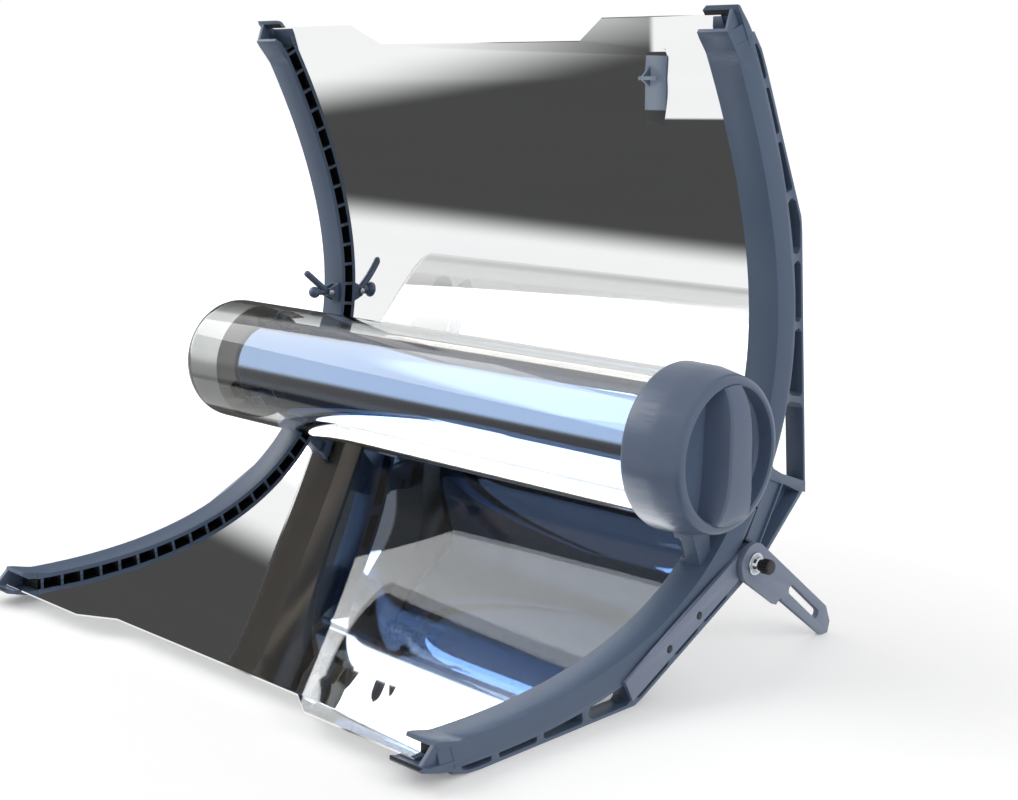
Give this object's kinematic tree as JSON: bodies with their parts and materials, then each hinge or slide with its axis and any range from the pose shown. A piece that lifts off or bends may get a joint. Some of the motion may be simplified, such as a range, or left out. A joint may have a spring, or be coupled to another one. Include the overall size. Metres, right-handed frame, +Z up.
{
  "type": "solar oven",
  "caption": "Folding trough solar oven: curved mirror sheets in moulded end ribs around a glass vacuum cooking tube with a capped tray, on a folding stand.",
  "frame": {"origin": "on the floor, under the middle of the outline", "axes": "+X along the tube towards the cap, +Y to the back, +Z up"},
  "size_m": [0.6116, 0.441, 0.4877],
  "materials": {
    "rib_plastic": "fine moulded texture",
    "mirror": "polished sheet",
    "soft_black": "matte",
    "clear_glass": "clear",
    "coated_glass": "dark blue absorber coat under gloss",
    "silver_film": "mirror film",
    "spring_steel": "bright",
    "stand_metal": "satin",
    "black_plastic": "ribbed",
    "dark_fastener": "blackened",
    "steel": "plain",
    "bright_washer": "polished",
    "brass": "plain",
    "cap_plastic": "fine moulded texture",
    "plug_plastic": "matte"
  },
  "bodies": {
    "lower_half": {"rib_lower_right": "rib_plastic", "rib_lower_left": "rib_plastic", "mirror_lower": "mirror", "cradle_right": "rib_plastic", "cradle_left": "rib_plastic", "cradle_pad_right": "soft_black", "cradle_pad_left": "soft_black", "outer_glass": "clear_glass", "inner_glass": "coated_glass", "getter_film": "silver_film", "finger_spring": "spring_steel", "mouth_ring": "soft_black", "front_bar_right": "stand_metal", "front_bar_left": "stand_metal", "bar_rivets": "dark_fastener", "hinge_pins": "steel", "hinge_washers": "steel", "stand_bolt_right": "steel", "stand_bolt_left": "steel", "bolt_washers": "bright_washer"},
    "upper_half": {"rib_upper_right": "rib_plastic", "rib_upper_left": "rib_plastic", "mirror_upper": "mirror", "latch_bracket": "rib_plastic", "latch_pin": "steel"},
    "latch": {"latch_lever": "cap_plastic"},
    "leg_right": {"rear_leg_right": "stand_metal"},
    "leg_left": {"rear_leg_left": "stand_metal"},
    "clamp_right": {"clamp_knob_right": "black_plastic", "clamp_insert_right": "brass"},
    "clamp_left": {"clamp_knob_left": "black_plastic", "clamp_insert_left": "brass"},
    "drawer": {"cap_shell": "cap_plastic", "cap_plug": "plug_plastic", "cap_seal": "soft_black", "tray": "steel", "tray_bracket": "steel", "tray_screws": "steel"}
  },
  "joints": [
    {"name": "fold", "type": "hinge", "parent": "lower_half", "child": "upper_half", "pos_m": [0, 0.13154, 0.12524], "axis": [1, 0, 0], "range_deg": [0, 18]},
    {"name": "leg_right_swing", "type": "hinge", "parent": "lower_half", "child": "leg_right", "pos_m": [0.2697, 0.11551, 0.07971], "axis": [1, 0, 0], "range_deg": [-105, 75]},
    {"name": "leg_left_swing", "type": "hinge", "parent": "lower_half", "child": "leg_left", "pos_m": [-0.2881, 0.11551, 0.07971], "axis": [1, 0, 0], "range_deg": [-105, 75]},
    {"name": "clamp_right_turn", "type": "hinge", "parent": "lower_half", "child": "clamp_right", "pos_m": [0.2826, 0.11551, 0.07971], "axis": [1, 0, 0], "continuous": true},
    {"name": "clamp_left_turn", "type": "hinge", "parent": "lower_half", "child": "clamp_left", "pos_m": [-0.301, 0.11551, 0.07971], "axis": [1, 0, 0], "continuous": true},
    {"name": "drawer_slide", "type": "slide", "parent": "lower_half", "child": "drawer", "axis": [1, 0, 0], "range_m": [0, 0.43]},
    {"name": "latch_turn", "type": "hinge", "parent": "upper_half", "child": "latch", "pos_m": [-0.2591, 0.14162, 0.23377], "axis": [1, 0, 0], "range_deg": [-25, 25]}
  ]
}
